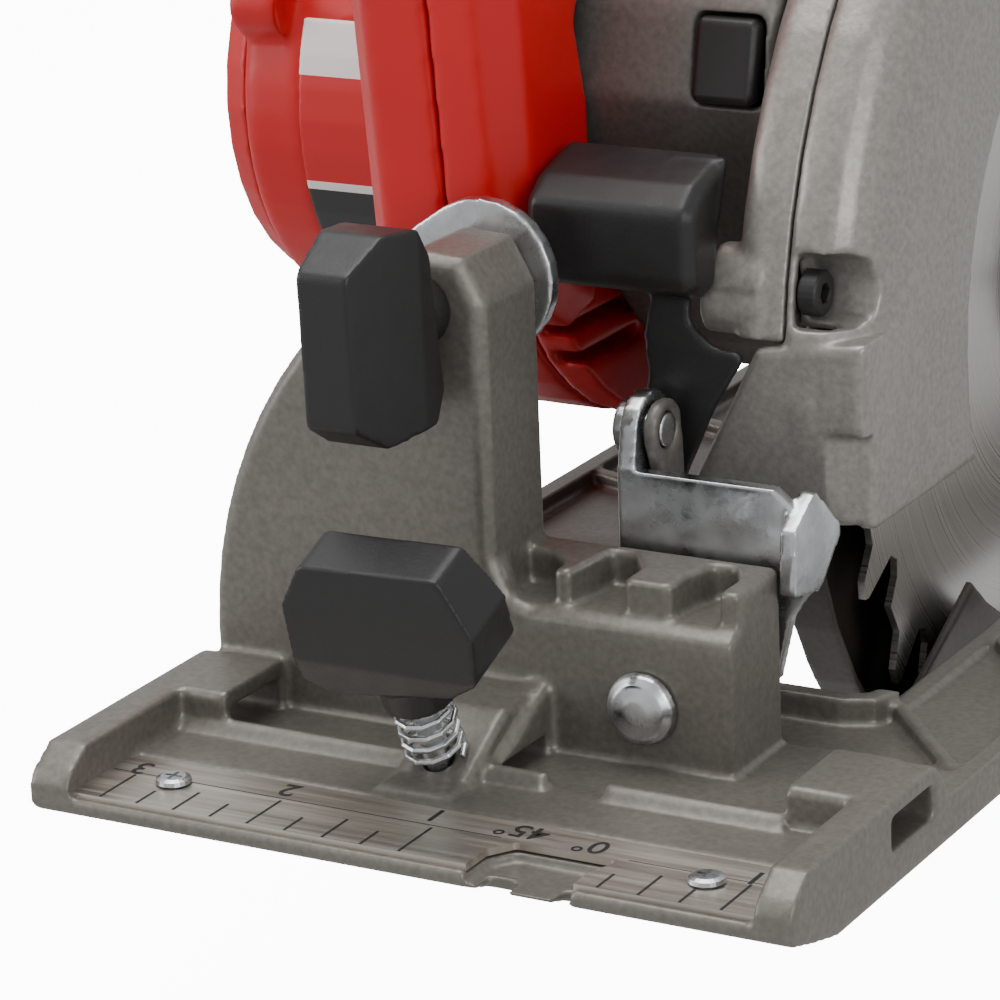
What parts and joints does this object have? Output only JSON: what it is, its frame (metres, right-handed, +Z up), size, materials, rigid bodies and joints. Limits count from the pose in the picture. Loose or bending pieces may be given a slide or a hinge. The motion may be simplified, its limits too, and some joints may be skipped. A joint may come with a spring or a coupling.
{
  "type": "cordless circular saw",
  "caption": "Cordless circular saw: tilting head with guarded toothed blade, geared motor, loop handle and slide battery on a cast shoe with cutting scale.",
  "frame": {"origin": "on the sole of the shoe, on the line of the blade, 30 mm behind the front edge of the cutting scale", "axes": "+X to the blade side, -Y is the cutting direction, +Z up from the sole"},
  "size_m": [0.1653, 0.3052, 0.2248],
  "materials": {
    "cast": "warm dark grey satin paint on a fine-grained casting",
    "guard_cast": "fine-grained warm silver-grey casting",
    "red_plastic": "bright red moulded plastic",
    "black_plastic": "near-black textured plastic",
    "zinc": "bright zinc plating",
    "steel": "ground steel",
    "dark_steel": "dark brown-grey coated steel",
    "scale_steel": "brushed plate with dark marks",
    "copper": "copper windings on a laminated ring",
    "label": "plain pale panel"
  },
  "bodies": {
    "shoe": {"shoe": "cast", "scale_plate": "scale_steel", "scale_screw_left": "zinc", "scale_screw_right": "zinc", "bevel_pivot_rivet": "zinc", "rear_pivot_pin": "zinc", "bevel_bolt": "zinc", "fence_spring": "zinc"},
    "tilt_frame": {"bevel_bracket": "zinc", "rear_bracket": "zinc", "depth_pivot_pin": "zinc"},
    "saw_head": {"gear_case": "cast", "upper_guard": "guard_cast", "guard_cover": "guard_cast", "guard_screw": "black_plastic", "housing_left": "red_plastic", "housing_right": "red_plastic", "motor_end_cap": "red_plastic", "label_panel": "label", "motor_stator": "copper", "arbor_bearing_inner": "steel", "arbor_bearing_outer": "steel", "motor_bearing_front": "steel", "motor_bearing_rear": "steel", "depth_bolt": "zinc", "lower_guard_spring": "zinc"},
    "blade_shaft": {"saw_blade": "steel", "arbor_shaft": "steel", "arbor_gear": "steel", "inner_flange": "dark_steel", "outer_flange": "dark_steel", "blade_bolt": "zinc"},
    "motor_rotor": {"motor_armature": "steel", "motor_fan": "black_plastic"},
    "lower_guard": {"lower_guard": "dark_steel"},
    "guard_lever": {"lower_guard_lever": "black_plastic"},
    "bevel_knob": {"bevel_knob": "black_plastic"},
    "fence_knob": {"fence_knob": "black_plastic", "fence_screw": "zinc"},
    "depth_lever": {"depth_lever": "black_plastic"},
    "trigger": {"trigger": "black_plastic"},
    "lock_off_button": {"lock_off_button": "black_plastic"},
    "spindle_lock": {"spindle_lock_button": "black_plastic"},
    "battery": {"battery_pack": "black_plastic"},
    "latch_left": {"battery_latch_left": "red_plastic"},
    "latch_right": {"battery_latch_right": "red_plastic"}
  },
  "joints": [
    {"name": "bevel_tilt", "type": "hinge", "parent": "shoe", "child": "tilt_frame", "pos_m": [-0.0105, 0, 0.0145], "axis": [0, 1, 0], "range_deg": [0, 50]},
    {"name": "depth_swing", "type": "hinge", "parent": "tilt_frame", "child": "saw_head", "pos_m": [0, 0.0428, 0.049], "axis": [1, 0, 0], "range_deg": [-11.5, 8]},
    {"name": "arbor_spin", "type": "hinge", "parent": "saw_head", "child": "blade_shaft", "pos_m": [0, 0.145, 0.051], "axis": [1, 0, 0], "continuous": true},
    {"name": "rotor_spin", "type": "hinge", "parent": "saw_head", "child": "motor_rotor", "pos_m": [0, 0.128, 0.08], "axis": [1, 0, 0], "continuous": true},
    {"name": "lower_guard_swing", "type": "hinge", "parent": "saw_head", "child": "lower_guard", "pos_m": [0, 0.145, 0.051], "axis": [1, 0, 0], "range_deg": [0, 100], "stiffness_Nm_per_rad": 0.1, "springref_deg": -68.75},
    {"name": "guard_lever_lift", "type": "hinge", "parent": "saw_head", "child": "guard_lever", "pos_m": [0, 0.145, 0.051], "axis": [1, 0, 0], "range_deg": [-50, 0]},
    {"name": "bevel_knob_turn", "type": "hinge", "parent": "shoe", "child": "bevel_knob", "pos_m": [-0.046, 0.0164, 0.072], "axis": [0, -1, 0], "range_deg": [-180, 0]},
    {"name": "fence_knob_turn", "type": "hinge", "parent": "shoe", "child": "fence_knob", "pos_m": [-0.0346, -0.0024, 0.0099], "axis": [0, -0.3584, 0.9336], "range_deg": [-180, 0]},
    {"name": "depth_lever_lift", "type": "hinge", "parent": "saw_head", "child": "depth_lever", "pos_m": [0, 0.22018, 0.06389], "axis": [1, 0, 0], "range_deg": [0, 30]},
    {"name": "trigger_pull", "type": "slide", "parent": "saw_head", "child": "trigger", "axis": [0, -0.6222, 0.7829], "range_m": [0, 0.004], "stiffness_N_per_m": 900, "springref_m": -0.002},
    {"name": "lock_off_push", "type": "slide", "parent": "saw_head", "child": "lock_off_button", "axis": [1, 0, 0], "range_m": [0, 0.002], "stiffness_N_per_m": 800, "springref_m": -0.001},
    {"name": "spindle_lock_push", "type": "slide", "parent": "saw_head", "child": "spindle_lock", "axis": [0, 1, 0], "range_m": [0, 0.0024], "stiffness_N_per_m": 900, "springref_m": -0.001},
    {"name": "battery_slide", "type": "slide", "parent": "saw_head", "child": "battery", "axis": [0, 0.9796, 0.2011], "range_m": [0, 0.085]},
    {"name": "latch_left_press", "type": "slide", "parent": "battery", "child": "latch_left", "axis": [1, 0, 0], "range_m": [0, 0.0018], "stiffness_N_per_m": 700, "springref_m": -0.001},
    {"name": "latch_right_press", "type": "slide", "parent": "battery", "child": "latch_right", "axis": [-1, 0, 0], "range_m": [0, 0.0018], "stiffness_N_per_m": 700, "springref_m": -0.001}
  ],
  "couplings": [
    {"joint": "rotor_spin", "follows": "arbor_spin", "ratio": -3.4667},
    {"joint": "guard_lever_lift", "follows": "lower_guard_swing", "ratio": -0.5}
  ]
}
